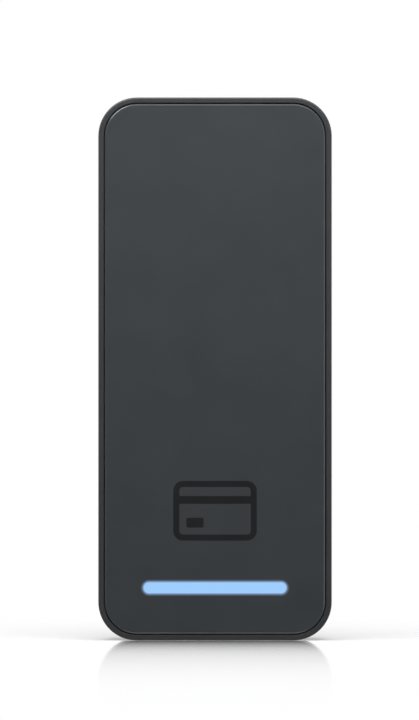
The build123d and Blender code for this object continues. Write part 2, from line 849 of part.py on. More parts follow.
# Ribbon between the boards, its connectors, and the sounder.
ribbon_top = board_bottom + connector_sunk + connector_length / 2
ribbon_low = bar_z + light_board_width / 2 - connector_sunk
ribbon_main = board_front + connector_height / 2
ribbon_light = light_board_back - connector_height / 2
with BuildPart() as light_cable_connectors:
    with BuildSketch(level(board_front)):
        with Locations((ribbon_x, ribbon_top)):
            Rectangle(connector_width, connector_length)
    extrude(amount=connector_height)
    with BuildSketch(level(light_board_back - connector_height)):
        with Locations((ribbon_x, ribbon_low - connector_length / 2)):
            Rectangle(connector_width, connector_length)
    extrude(amount=connector_height)
    mouth = ribbon_top - connector_length / 2
    with BuildSketch(Plane.XY.offset(mouth)):
        with Locations((ribbon_x, -ribbon_main)):
            Rectangle(ribbon_width, ribbon_thickness)
    extrude(amount=connector_grip, mode=Mode.SUBTRACT)
    with BuildSketch(Plane.XY.offset(ribbon_low)):
        with Locations((ribbon_x, -ribbon_light)):
            Rectangle(ribbon_width, ribbon_thickness)
    extrude(amount=-connector_grip, mode=Mode.SUBTRACT)

with BuildPart() as light_cable:
    with BuildSketch(Plane.YZ.offset(ribbon_x - ribbon_width / 2)):
        with BuildLine():
            near = [
                (-ribbon_main, mouth + connector_grip),
                (-ribbon_main, mouth - ribbon_lead),
                (-ribbon_light, ribbon_low + ribbon_lead),
                (-ribbon_light, ribbon_low - connector_grip),
            ]
            half = ribbon_thickness / 2
            out = [(y - half, z) for y, z in near]
            back = [(y + half, z) for y, z in reversed(near)]
            Polyline(*out, *back, close=True)
        make_face()
    extrude(amount=ribbon_width)

with BuildPart() as sounder:
    with BuildSketch(level(light_board_back - sounder_thickness)):
        with Locations((sounder_x, bar_z)):
            RectangleRounded(sounder_width, sounder_height, 0.6)
    extrude(amount=sounder_thickness)
    with BuildSketch(Plane.XY.offset(bar_z - sounder_height / 2)):
        with Locations((sounder_x, -(light_board_back - sounder_thickness / 2))):
            Circle(1.0)
    extrude(amount=1.0, mode=Mode.SUBTRACT)

with BuildPart() as sounder_mesh:
    with BuildSketch(Plane.XY.offset(bottom + housing_wall)):
        with Locations((sounder_x, -sound_hole_forward)):
            wide = (sound_hole_count - 1) * sound_hole_pitch + 2 * (sound_hole_radius + sound_mesh_margin)
            Rectangle(wide, 2 * (sound_hole_radius + sound_mesh_margin))
    extrude(amount=sound_mesh_thickness)

# Rear cover.
pocket_middle = (pocket_top + pocket_bottom) / 2
pocket_height = pocket_top - pocket_bottom
recess_length = lift + screw_slot_length - 2 * screw_slot_radius + 2 * head_recess_radius
recess_points = [(0, side * screw_spacing / 2 - lift / 2) for side in (-1, 1)]
with BuildPart() as rear_cover:
    with BuildSketch(level(cover_back)):
        add(opening_outline(cover_play))
    extrude(amount=cover_thickness)
    chamfer(rear_cover.faces().sort_by(Axis.Y)[-1].edges(), cover_break)
    with BuildSketch(level(cover_inner)):
        with Locations(*boss_points):
            Circle(pad_radius)
    extrude(amount=boss_back - cover_inner)
    with BuildSketch(level(cover_inner)):
        with Locations(*post_points):
            Circle(post_radius)
    extrude(amount=board_back - cover_inner)
    with BuildSketch(level(cover_inner)):
        with Locations((0, pocket_middle)):
            RectangleRounded(
                pocket_width + 2 * pocket_wall,
                pocket_height + 2 * pocket_wall,
                pocket_corner + pocket_wall,
            )
    extrude(amount=pocket_floor + pocket_floor_wall - cover_inner)
    with BuildSketch(level(cover_inner)):
        with Locations(*recess_points):
            SlotOverall(
                recess_length + 2 * small_wall,
                2 * (head_recess_radius + small_wall),
                rotation=90,
            )
    extrude(amount=recess_floor + small_wall - cover_inner)
    hook_box_width = hook_width + 2 * (hook_slot_play + small_wall)
    hook_box_low = -lift - sheet - hook_slot_play - small_wall
    hook_box_high = hook_lip + hook_slot_play + small_wall
    with BuildSketch(level(cover_inner)):
        for hook_at, hook_z in hook_points:
            with Locations((hook_at, hook_z + (hook_box_low + hook_box_high) / 2)):
                Rectangle(hook_box_width, hook_box_high - hook_box_low)
    extrude(amount=hook_floor + small_wall - cover_inner)
    with BuildSketch(level(cover_back)):
        with Locations((0, pocket_middle)):
            RectangleRounded(pocket_width, pocket_height, pocket_corner)
    extrude(amount=pocket_floor - cover_back, mode=Mode.SUBTRACT)
    with BuildSketch(level(cover_back)):
        with Locations(*recess_points):
            SlotOverall(recess_length, 2 * head_recess_radius, rotation=90)
    extrude(amount=recess_floor - cover_back, mode=Mode.SUBTRACT)
    with BuildSketch(level(cover_back + sheet)):
        for hook_at, hook_z in hook_points:
            low = hook_z + hook_box_low + small_wall
            high = hook_z + hook_box_high - small_wall
            with Locations((hook_at, (low + high) / 2)):
                Rectangle(hook_box_width - 2 * small_wall, high - low)
    extrude(amount=hook_floor - cover_back - sheet, mode=Mode.SUBTRACT)
    with BuildSketch(level(cover_back)):
        for hook_at, hook_z in hook_points:
            low = hook_z + hook_box_low + small_wall
            with Locations((hook_at, (low + hook_z) / 2)):
                Rectangle(hook_box_width - 2 * small_wall, hook_z - low)
    extrude(amount=sheet, mode=Mode.SUBTRACT)
    with BuildSketch(level(cover_back)):
        with Locations(*boss_points):
            Circle(head_bore_radius)
    extrude(amount=head_bore_depth, mode=Mode.SUBTRACT)
    with BuildSketch(level(cover_back)):
        with Locations(*boss_points):
            Circle(screw_radius + screw_clearance)
    extrude(amount=boss_back - cover_back, mode=Mode.SUBTRACT)
    with BuildSketch(level(board_front - board_screw_length - screw_hole_spare)):
        with Locations(*post_points):
            Circle(screw_radius)
    extrude(amount=board_screw_length, mode=Mode.SUBTRACT)
    with BuildSketch(level(cover_back)):
        with Locations((plunger_x, plunger_z)):
            Circle(plunger_radius + plunger_running)
        with Locations((reset_x, reset_z)):
            Circle(reset_radius + reset_running)
        with Locations((vent_x, vent_z)):
            Circle(vent_hole_radius)
    extrude(amount=cover_thickness, mode=Mode.SUBTRACT)
    with BuildSketch(Plane.XY.offset(pocket_top - pocket_corner)):
        with Locations((0, -(port_back + pocket_floor) / 2)):
            Rectangle(port_width, pocket_floor - port_back)
    extrude(amount=pocket_corner + pocket_wall, mode=Mode.SUBTRACT)

with BuildPart() as housing_gasket:
    add(ring(opening_outline(gasket_inset), opening_outline(gasket_inset + gasket_width), cover_inner, shelf_back))

with BuildPart() as cover_screws:
    for x, z in boss_points:
        add(pan_screw(x, z, cover_back + head_bore_depth, cover_screw_length, True))

with BuildPart() as pocket_seal:
    with BuildSketch(level(cover_back - seal_thickness)):
        with Locations((0, pocket_middle)):
            near = 2 * seal_inset
            far = 2 * (seal_inset + seal_width)
            RectangleRounded(pocket_width + far, pocket_height + far, pocket_corner + far / 2)
            RectangleRounded(pocket_width + near, pocket_height + near, pocket_corner + near / 2, mode=Mode.SUBTRACT)
    extrude(amount=seal_thickness)

with BuildPart() as rating_label:
    with BuildSketch(level(cover_back - label_thickness)):
        with Locations((0, label_z)):
            RectangleRounded(label_width, label_height, 0.8)
    extrude(amount=label_thickness)

with BuildPart() as vent_membrane:
    with BuildSketch(level(cover_inner)):
        with Locations((vent_x, vent_z)):
            Circle(vent_radius)
    extrude(amount=vent_thickness)

# Lock screw with its seal, and the insert it runs in.
with BuildPart() as lock_screw_insert:
    with BuildSketch(Plane.XY.offset(lock_seat)):
        with Locations((0, -lock_axis)):
            Circle(lock_insert_radius)
            Circle(lock_radius + lock_running, mode=Mode.SUBTRACT)
    extrude(amount=lock_boss_top - lock_seat)

lock_head_low = lock_seat - lock_head_height
with BuildPart() as lock_screw:
    with BuildSketch(Plane.XY.offset(lock_seat)):
        with Locations((0, -lock_axis)):
            Circle(lock_radius)
    extrude(amount=lock_length)
    chamfer(lock_screw.faces().sort_by(Axis.Z)[-1].edges(), lock_tip_break)
    with BuildSketch(Plane.XY.offset(lock_head_low)):
        with Locations((0, -lock_axis)):
            Circle(lock_head_radius)
    extrude(amount=lock_head_height)
    chamfer(lock_screw.faces().sort_by(Axis.Z)[0].edges(), lock_head_break)
    with BuildSketch(Plane.XY.offset(lock_head_low + oring_rise - oring_radius)):
        with Locations((0, -lock_axis)):
            Circle(lock_head_radius)
            Circle(lock_head_radius - oring_groove_depth, mode=Mode.SUBTRACT)
    extrude(amount=2 * oring_radius, mode=Mode.SUBTRACT)
    with BuildSketch(Plane.XY.offset(lock_head_low)):
        with Locations((0, -lock_axis)):
            Circle(drive_radius)
            with PolarLocations(drive_radius, 6):
                Circle(drive_lobe)
            Circle(drive_pin_radius, mode=Mode.SUBTRACT)
    extrude(amount=drive_depth, mode=Mode.SUBTRACT)

with BuildPart() as lock_screw_seal:
    with BuildSketch(Plane.XZ.offset(lock_axis)):
        with Locations((lock_head_radius - oring_groove_depth + oring_radius, lock_head_low + oring_rise)):
            Circle(oring_radius)
    revolve(axis=Axis((0, -lock_axis, 0), (0, 0, 1)))

# Tamper plunger with its switch and spring.
with BuildPart() as tamper_plunger:
    with BuildSketch(level(plunger_short_of_wall)):
        with Locations((plunger_x, plunger_z)):
            Circle(plunger_radius)
    extrude(amount=plunger_flange_back - plunger_short_of_wall)
    fillet(tamper_plunger.faces().sort_by(Axis.Y)[-1].edges(), plunger_tip_round)
    with BuildSketch(level(plunger_flange_back)):
        with Locations((plunger_x, plunger_z)):
            Circle(plunger_flange_radius)
    extrude(amount=plunger_flange)

with BuildPart() as tamper_switch:
    with BuildSketch(level(board_front)):
        with Locations((plunger_x, plunger_z)):
            RectangleRounded(tamper_body, tamper_body, 0.5)
    extrude(amount=tamper_body_depth)
    with BuildSketch(level(board_front)):
        with Locations((plunger_x, plunger_z)):
            Circle(tamper_bore_radius)
    extrude(amount=tamper_body_depth - tamper_cap, mode=Mode.SUBTRACT)

spring_room = tamper_front - tamper_cap - plunger_flange_front
with BuildPart() as tamper_spring:
    with BuildLine():
        coil = Helix(
            (spring_room - spring_wire) / spring_turns,
            spring_room - spring_wire,
            spring_radius,
            center=(plunger_x, -plunger_flange_front - spring_wire / 2, plunger_z),
            direction=(0, -1, 0),
        )
    with BuildSketch(Plane(coil @ 0, z_dir=coil % 0)):
        Circle(spring_wire / 2)
    sweep()

# Reset button and its switch.
reset_stem_back = cover_inner + reset_flange + reset_nub
reset_sinks = reset_stem_back + reset_stem_length - reset_switch_back
reset_bore = reset_sinks + reset_travel + reset_running
with BuildPart() as reset_button:
    with BuildSketch(level(cover_back + reset_sunk)):
        with Locations((reset_x, reset_z)):
            Circle(reset_radius)
    extrude(amount=cover_inner - cover_back - reset_sunk)
    with BuildSketch(level(cover_inner)):
        with Locations((reset_x, reset_z)):
            Circle(reset_flange_radius)
    extrude(amount=reset_flange)
    with BuildSketch(level(cover_inner + reset_flange)):
        with Locations((reset_x, reset_z)):
            Circle(reset_radius * 0.8)
    extrude(amount=reset_nub)

with BuildPart() as reset_stem:
    with BuildSketch(level(reset_stem_back)):
        with Locations((reset_x, reset_z)):
            Circle(reset_stem_radius)
    extrude(amount=reset_stem_length)

with BuildPart() as reset_switch_body:
    with BuildSketch(level(reset_switch_back)):
        with Locations((reset_x, reset_z)):
            RectangleRounded(reset_switch, reset_switch, 0.3)
    extrude(amount=reset_switch_height)
    with BuildSketch(level(reset_switch_back)):
        with Locations((reset_x, reset_z)):
            Circle(reset_stem_bore)
    extrude(amount=reset_bore, mode=Mode.SUBTRACT)

pieces = {
    "wall_bracket": wall_bracket.part,
    "housing": housing.part,
    "front_panel": front_panel.part,
    "card_symbol": card_symbol.part,
    "panel_adhesive": panel_adhesive.part,
    "light_bar_lens": light_bar_lens.part,
    "light_diffuser": light_diffuser.part,
    "light_reflector": light_reflector.part,
    "light_board": light_board.part,
    "light_board_leds": light_board_leds.part,
    "light_board_screws": light_board_screws.part,
    "antenna_board": antenna_board.part,
    "antenna_coil": antenna_coil.part,
    "ferrite_sheet": ferrite_sheet.part,
    "antenna_pin_block": antenna_pin_block.part,
    "antenna_pins": antenna_pins.part,
    "main_board": main_board.part,
    "board_screws": board_screws.part,
    "processor": processor,
    "reader_chip": reader_chip,
    "crystal": crystal,
    "bluetooth_antenna": bluetooth_antenna,
    "power_inductor": power_inductor,
    "support_chips": support_chips.part,
    "poe_transformer": poe_transformer.part,
    "capacitors": capacitors.part,
    "radio_shield": radio_shield.part,
    "chip_passives": chip_passives.part,
    "network_jack": network_jack.part,
    "network_jack_insert": network_jack_insert.part,
    "network_jack_contacts": network_jack_contacts.part,
    "network_jack_seal": network_jack_seal.part,
    "light_cable_connectors": light_cable_connectors.part,
    "light_cable": light_cable.part,
    "sounder": sounder.part,
    "sounder_mesh": sounder_mesh.part,
    "rear_cover": rear_cover.part,
    "housing_gasket": housing_gasket.part,
    "cover_screws": cover_screws.part,
    "pocket_seal": pocket_seal.part,
    "rating_label": rating_label.part,
    "vent_membrane": vent_membrane.part,
    "lock_screw_insert": lock_screw_insert.part,
    "lock_screw": lock_screw.part,
    "lock_screw_seal": lock_screw_seal.part,
    "tamper_plunger": tamper_plunger.part,
    "tamper_switch": tamper_switch.part,
    "tamper_spring": tamper_spring.part,
    "reset_button": reset_button.part,
    "reset_stem": reset_stem.part,
    "reset_switch_body": reset_switch_body.part,
}
os.makedirs("parts", exist_ok=True)
for name, piece in pieces.items():
    piece.label = name
    export_step(piece, "parts/" + name + ".step")
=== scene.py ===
"""Looks of a narrow wall-mounted card reader: finishes, small turned and wound pieces, light and camera.

Everything is in metres in the part's own frame: X to the right, Z up, the face looking along -Y.
"""

import json

import bpy
import numpy as np
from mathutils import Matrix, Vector


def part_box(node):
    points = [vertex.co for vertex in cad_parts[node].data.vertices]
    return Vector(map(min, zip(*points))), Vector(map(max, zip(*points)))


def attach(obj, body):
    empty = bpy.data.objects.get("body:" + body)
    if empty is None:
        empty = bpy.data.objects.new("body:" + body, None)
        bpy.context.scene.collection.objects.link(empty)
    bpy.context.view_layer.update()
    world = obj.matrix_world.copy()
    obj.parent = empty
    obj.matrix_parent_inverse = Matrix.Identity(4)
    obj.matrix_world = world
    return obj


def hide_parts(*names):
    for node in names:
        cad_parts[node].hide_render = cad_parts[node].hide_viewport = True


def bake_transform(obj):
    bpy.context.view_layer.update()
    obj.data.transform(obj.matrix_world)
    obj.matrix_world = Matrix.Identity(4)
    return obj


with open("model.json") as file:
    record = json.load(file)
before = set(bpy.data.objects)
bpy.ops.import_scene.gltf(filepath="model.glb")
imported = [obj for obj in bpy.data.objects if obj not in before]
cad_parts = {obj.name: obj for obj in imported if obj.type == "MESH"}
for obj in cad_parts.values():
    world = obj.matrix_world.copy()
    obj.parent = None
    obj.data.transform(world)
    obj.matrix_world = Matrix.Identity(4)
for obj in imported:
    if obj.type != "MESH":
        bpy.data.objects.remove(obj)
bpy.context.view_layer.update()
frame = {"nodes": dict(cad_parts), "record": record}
MM = 0.001
TAU = 2 * np.pi
X, Y, Z = np.eye(3)
WHITE = (1.0, 1.0, 1.0, 1.0)
MAP_RANGE_SOCKETS = ("From Min", "From Max", "To Min", "To Max")
# Corner radii seen from the front, and the rim of the light bar's lens that its window hides.
CASE_CORNER, PANEL_CORNER, LABEL_CORNER = 9.4 * MM, 7.8 * MM, 0.8 * MM
LENS_FLANGE = 1.2 * MM
# Two directions across and one along, for pieces that stand out to the front, to the back or down.
TO_FRONT = (X, Z, -Y)
TO_BACK = (X, Z, Y)
DOWN = (X, Y, -Z)


# ---- Surfaces -------------------------------------------------------------------------------


def grid_faces(rows, columns, around, offset):
    """Quads between neighbours of a rows by columns grid, whose columns close on themselves if around."""
    r = np.arange(rows - 1)[:, None]
    c = np.arange(columns if around else columns - 1)[None, :]
    n = (c + 1) % columns
    corners = (r * columns + c, r * columns + n, (r + 1) * columns + n, (r + 1) * columns + c)
    return np.stack(np.broadcast_arrays(*corners), -1).reshape(-1, 4) + offset


def make_piece(name, grids, smooth=35.0, around=True, parts=None):
    """One mesh from grids of points; doubles at seams and poles are closed and faces turned outwards.

    A sheet, which isn't closed around, keeps the side that its grid gives it.
    """
    points, faces, offset = [], [], 0
    for block in grids:
        rows, columns = block.shape[:2]
        points.append(block.reshape(-1, 3))
        faces.append(grid_faces(rows, columns, around, offset))
        offset += rows * columns
    mesh = bpy.data.meshes.new(name)
    mesh.from_pydata(np.concatenate(points).tolist(), [], np.concatenate(faces).tolist())
    if parts is not None:
        values = np.concatenate([np.full(len(p), v, np.float32) for p, v in zip(points, parts)])
        mesh.attributes.new("part", "FLOAT", "POINT").data.foreach_set("value", values)
    piece = bpy.data.objects.new(name, mesh)
    bpy.context.scene.collection.objects.link(piece)
    bpy.ops.object.select_all(action="DESELECT")
    piece.select_set(True)
    bpy.context.view_layer.objects.active = piece
    bpy.ops.object.mode_set(mode="EDIT")
    bpy.ops.mesh.select_all(action="SELECT")
    bpy.ops.mesh.remove_doubles(threshold=1e-7)
    if around:
        bpy.ops.mesh.normals_make_consistent(inside=False)
    bpy.ops.object.mode_set(mode="OBJECT")
    mesh.shade_smooth()
    mesh.set_sharp_from_angle(angle=np.radians(smooth))
    return piece


def turned(rows, centre, along=TO_FRONT, sides=48):
    """Rows of (radius, height) carried round an axis: centre + radius (cos a, sin a) + height along it.

    A radius or a height may be an array with one value for each angle, as a recess or a thread has.
    """
    a = np.arange(sides) * TAU / sides
    radius = np.stack([np.broadcast_to(r, sides) for r, _ in rows])
    height = np.stack([np.broadcast_to(h, sides) for _, h in rows])
    u, v, w = along
    spread = radius[..., None] * (np.cos(a)[:, None] * u + np.sin(a)[:, None] * v)
    return np.asarray(centre) + spread + height[..., None] * w


def rounded_outline(wide, tall, corner, sides):
    """A rectangle with round corners: corner centres by sign, plus corner radius times (cos a, sin a)."""
    a = (np.arange(sides) + 0.5) * TAU / sides
    c, s = np.cos(a), np.sin(a)
    across = np.sign(c) * (wide / 2 - corner) + corner * c
    up = np.sign(s) * (tall / 2 - corner) + corner * s
    return np.stack([across, up], -1)


def box_middle(node):
    """The middle of a node's box seen from the front, at y = 0."""
    low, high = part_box(node)
    return np.array([(low.x + high.x) / 2, 0, (low.z + high.z) / 2])


def pillow(centre, wide, tall, high, corner, edge, sides=32):
    """A block that stands out to the front: a rounded outline, drawn in by a rounded upper edge."""
    turn = np.linspace(0, np.pi / 2, 4)
    taken = np.concatenate([[0], edge * (1 - np.cos(turn))])
    height = np.concatenate([[0], high - edge + edge * np.sin(turn)])
    rows = [rounded_outline(wide - 2 * t, tall - 2 * t, max(corner - t, 0.02 * MM), sides) for t in taken]
    flat = np.stack([rows[0] * 0, *rows, rows[-1] * 0])
    height = np.concatenate([[0], height, [high]])
    u, v, w = TO_FRONT
    return np.asarray(centre) + flat[..., :1] * u + flat[..., 1:] * v + height[:, None, None] * w


def tube(path, across, wide, thick, sides):
    """An oval section carried along a path: across is its wide axis, and its ends draw in to a point.

    The section at each point is path + wide/2 cos a across + thick/2 sin a (tangent x across).
    """
    tangent = np.gradient(path, axis=0)
    tangent /= np.linalg.norm(tangent, axis=1, keepdims=True)
    across = np.broadcast_to(across, path.shape)
    up = np.cross(tangent, across)
    a = np.arange(sides) * TAU / sides
    size = np.ones(len(path))
    size[[0, -1]] = 0
    section = np.cos(a)[:, None] * across[:, None] * wide / 2 + np.sin(a)[:, None] * up[:, None] * thick / 2
    return path[:, None] + section * size[:, None, None]


def thread(core, crest, length, pitch, sides):
    """Rows of a screw thread going down from 0: a ridge wherever height / pitch - angle / turn is whole."""
    rows_per_pitch = 8
    down = np.linspace(0, length, int(length / pitch * rows_per_pitch))
    turn = np.arange(sides) / sides
    ridge = 1 - np.abs(2 * ((down[:, None] / pitch - turn) % 1) - 1)
    runs_out = np.clip(np.minimum(down, length - down) / pitch, 0, 1)
    radius = core + (crest - core) * np.clip(1.6 * ridge - 0.3, 0, 1) * runs_out[:, None]
    return [(r, -h) for r, h in zip(radius, down)]


def cross_recess(half_length, half_width, sides):
    """Distance from the middle to the edge of two crossed bars, at each angle."""
    a = np.arange(sides) * TAU / sides
    c, s = np.abs(np.cos(a)) + 1e-6, np.abs(np.sin(a)) + 1e-6
    bars = [np.minimum(half_length / p, half_width / q) for p, q in ((c, s), (s, c))]
    return np.maximum(*bars)


def lobed_recess(radius, lobe, sides):
    """A circle with six smaller circles of radius lobe standing on it, as distance from the middle."""
    a = np.arange(sides) * TAU / sides
    off = (a + TAU / 12) % (TAU / 6) - TAU / 12
    inside = np.clip(lobe**2 - (radius * np.sin(off)) ** 2, 0, None)
    return np.where(inside > 0, np.maximum(radius, radius * np.cos(off) + np.sqrt(inside)), radius)


def settle(piece, body, finish):
    """The piece rides on its body and takes its finish."""
    piece.data.materials.append(finish)
    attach(piece, body)


def stand_for(piece, body, node, finish=None):
    """The piece takes the place of a CAD node, with the node's own finish unless another is given."""
    settle(piece, body, finish or finishes[slots[node]])
    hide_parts(node)


# ---- Finishes -------------------------------------------------------------------------------


class Finish:
    """A material in the making, with short calls for the few nodes that finishes share."""

    def __init__(self, name, colour, roughness, metallic=0.0):
        self.material = bpy.data.materials.new(name)
        self.material.use_nodes = True
        self.tree = self.material.node_tree
        self.shader = self.tree.nodes["Principled BSDF"]
        self.colour = (*colour, 1.0)
        self.set(**{"Base Color": self.colour, "Roughness": roughness, "Metallic": metallic})
        self.place = self.add("ShaderNodeTexCoord").outputs["Object"]
        self.normal = None

    def set(self, **sockets):
        """Plain values for sockets of the main shader."""
        for socket, value in sockets.items():
            self.shader.inputs[socket].default_value = value

    def add(self, kind, **settings):
        """A new node of a kind, with its settings."""
        node = self.tree.nodes.new(kind)
        for key, value in settings.items():
            setattr(node, key, value)
        return node

    def join(self, source, target):
        self.tree.links.new(source, target)

    def moved(self, scale=(1, 1, 1), turn=(0, 0, 0)):
        """Object coordinates turned and scaled."""
        node = self.add("ShaderNodeMapping")
        node.inputs["Scale"].default_value = scale
        node.inputs["Rotation"].default_value = turn
        self.join(self.place, node.inputs["Vector"])
        return node.outputs["Vector"]

    def noise(self, size, detail=2.0, rough=0.5, place=None):
        """Noise whose blotches are about size across, in metres."""
        node = self.add("ShaderNodeTexNoise")
        node.inputs["Scale"].default_value = 1 / size
        node.inputs["Detail"].default_value = detail
        node.inputs["Roughness"].default_value = rough
        self.join(place or self.place, node.inputs["Vector"])
        return node.outputs["Fac"]

    def cells(self, size, output="Distance"):
        """Voronoi cells about size across."""
        node = self.add("ShaderNodeTexVoronoi")
        node.inputs["Scale"].default_value = 1 / size
        self.join(self.place, node.inputs["Vector"])
        return node.outputs[output]

    def math(self, operation, *terms, clamp=False):
        """One step of arithmetic on numbers and node outputs."""
        node = self.add("ShaderNodeMath", operation=operation, use_clamp=clamp)
        for socket, term in zip(node.inputs, terms):
            if isinstance(term, (int, float)):
                socket.default_value = term
            else:
                self.join(term, socket)
        return node.outputs[0]

    def axis(self, letter, place=None):
        """One axis of the object coordinates, or of another vector."""
        node = self.add("ShaderNodeSeparateXYZ")
        self.join(place or self.place, node.inputs[0])
        return node.outputs[letter]

    def ramp(self, value, low, high, to_low=0.0, to_high=1.0, smooth=False):
        """A value carried from low..high to to_low..to_high, and held at its ends."""
        kind = "SMOOTHSTEP" if smooth else "LINEAR"
        node = self.add("ShaderNodeMapRange", clamp=True, interpolation_type=kind)
        for socket, number in zip(MAP_RANGE_SOCKETS, (low, high, to_low, to_high)):
            node.inputs[socket].default_value = number
        self.join(value, node.inputs["Value"])
        return node.outputs["Result"]

    def blend(self, factor, first, second):
        """Colour from first to second as the factor goes from 0 to 1."""
        node = self.add("ShaderNodeMix", data_type="RGBA")
        sockets = [s for s in node.inputs if s.type == "RGBA"]
        for socket, colour in zip(sockets, (first, second)):
            if hasattr(colour, "is_output"):
                self.join(colour, socket)
            else:
                socket.default_value = (*colour[:3], 1.0)
        self.join(factor, node.inputs["Factor"])
        return [s for s in node.outputs if s.type == "RGBA"][0]

    def paint(self, colour):
        self.join(colour, self.shader.inputs["Base Color"])

    def gloss(self, value):
        self.join(value, self.shader.inputs["Roughness"])

    def relief(self, height, depth):
        """Bump of that depth in metres; further calls build on the one before."""
        node = self.add("ShaderNodeBump")
        node.inputs["Distance"].default_value = depth
        node.inputs["Strength"].default_value = 1.0
        self.join(height, node.inputs["Height"])
        if self.normal is not None:
            self.join(self.normal, node.inputs["Normal"])
        self.normal = node.outputs["Normal"]
        self.join(self.normal, self.shader.inputs["Normal"])
        return self

    def shaded(self, share, size):
        """The base colour made lighter and darker by a share, in soft blotches."""
        dark = [c * (1 - share) for c in self.colour[:3]]
        light = [min(1.0, c * (1 + share)) for c in self.colour[:3]]
        return self.blend(self.ramp(self.noise(size, 3.0), 0.3, 0.7), dark, light)

    def uneven_gloss(self, size, detail, least, most):
        """Roughness that wanders between least and most in blotches of a size."""
        self.gloss(self.ramp(self.noise(size, detail), 0.3, 0.7, least, most))

    def part_value(self):
        """The value that make_piece gave this bit of a small part."""
        return self.add("ShaderNodeAttribute", attribute_name="part").outputs["Fac"]


def moulded(name, colour, roughness, grain, depth):
    """Moulded plastic: a spark-eroded grain, slight unevenness of tone and of gloss."""
    f = Finish(name, colour, roughness)
    f.paint(f.shaded(0.05, 9 * MM))
    fine = f.noise(grain, 3.0, 0.65)
    uneven = f.math("ADD", fine, f.noise(14 * MM, 2.0))
    f.gloss(f.ramp(uneven, 0.6, 1.4, roughness - 0.05, roughness + 0.05))
    f.relief(f.ramp(fine, 0.3, 0.7), depth)
    return f


def bare_metal(name, colour, roughness):
    """Metal with a finely mottled tone, a slight relief and a little tarnish."""
    f = Finish(name, colour, roughness, 1.0)
    mottle = f.noise(0.3 * MM, 3.0, 0.7)
    f.paint(f.blend(f.ramp(mottle, 0.35, 0.65), [c * 0.88 for c in colour], colour))
    tarnish = f.math("ADD", mottle, f.noise(3 * MM, 3.0))
    f.gloss(f.ramp(tarnish, 0.6, 1.4, roughness - 0.07, roughness + 0.1))
    f.relief(mottle, 1e-6)
    return f


def inside_edge(f, node, corner):
    """How far a point is inside a node's rounded outline, seen from the front, in metres."""
    low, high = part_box(node)
    gaps = []
    for axis, a, b in (("X", low.x, high.x), ("Z", low.z, high.z)):
        off = f.math("ABSOLUTE", f.math("SUBTRACT", f.axis(axis), (a + b) / 2))
        gaps.append(f.math("SUBTRACT", off, (b - a) / 2 - corner))
    past = [f.math("POWER", f.math("MAXIMUM", g, 0.0), 2.0) for g in gaps]
    outside = f.math("SQRT", f.math("ADD", *past))
    within = f.math("MINIMUM", f.math("MAXIMUM", *gaps), 0.0)
    return f.math("SUBTRACT", corner, f.math("ADD", outside, within))


def inside_bar(f):
    """How far a point is inside the stadium outline of the light bar's window; negative outside it."""
    low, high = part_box("light_bar_lens")
    radius = (high.z - low.z) / 2 - LENS_FLANGE
    half = (high.x - low.x) / 2 - LENS_FLANGE - radius
    past = f.math("MAXIMUM", f.math("SUBTRACT", f.math("ABSOLUTE", f.axis("X")), half), 0.0)
    up = f.math("SUBTRACT", f.axis("Z"), (low.z + high.z) / 2)
    reach = f.math("SQRT", f.math("ADD", f.math("POWER", past, 2.0), f.math("MULTIPLY", up, up)))
    return f.math("SUBTRACT", radius, reach)


def case_moulding():
    """Dark moulded case: satin grain, paler where hands rub its outer edge."""
    f = moulded("case_moulding", (0.0425, 0.0437, 0.0462), 0.5, 0.16 * MM, 5e-6)
    f.set(**{"Specular IOR Level": 0.22})
    rubbed = f.ramp(inside_edge(f, "housing", CASE_CORNER), 0.0, 0.9 * MM, 1.0, 0.0, smooth=True)
    rubbed = f.math("MULTIPLY", rubbed, f.ramp(f.noise(7 * MM, 4.0, 0.6), 0.42, 0.7))
    f.paint(f.blend(f.math("MULTIPLY", rubbed, 0.3), f.shaded(0.05, 9 * MM), (0.052, 0.053, 0.055)))
    return f.material


def face_panel():
    """Face panel: fine matt film, polished at its bevel, with a thin blue glow painted round the lit bar as
    light given off by the film itself.
    """
    f = moulded("face_panel", (0.0415, 0.0465, 0.0515), 0.40, 0.09 * MM, 1.2e-6)
    f.set(**{"Specular IOR Level": 0.45})
    edge = f.ramp(inside_edge(f, "front_panel", PANEL_CORNER), 0.3 * MM, 0.5 * MM, 0.22, 0.41)
    f.gloss(f.math("ADD", edge, f.ramp(f.noise(14 * MM, 2.0), 0.3, 0.7, -0.02, 0.02)))
    # Painted glow: the panel film itself emits a thin band of blue light just outside the bar's window.
    painted_glow = f.ramp(inside_bar(f), -0.62 * MM, -0.02 * MM, 0.0, 0.22, smooth=True)
    f.set(**{"Emission Strength": 1.0})
    f.join(f.blend(painted_glow, (0.0, 0.0, 0.0), (0.45, 0.66, 1.0)), f.shader.inputs["Emission Color"])
    return f.material


def lit_lens():
    """Lit bar: even light that falls off in the last half millimetre before its stadium edge."""
    f = Finish("lit_bar", (0.05, 0.08, 0.12), 0.35)
    edge = f.ramp(inside_bar(f), -0.06 * MM, 0.36 * MM, smooth=True)
    f.join(f.blend(edge, (0.18, 0.31, 0.55), (0.345, 0.612, 0.975)), f.shader.inputs["Emission Color"])
    f.set(**{"Emission Strength": 0.92})
    f.paint(f.blend(edge, (0.02, 0.03, 0.05), (0.04, 0.07, 0.1)))
    f.uneven_gloss(2 * MM, 2.0, 0.3, 0.4)
    return f.material


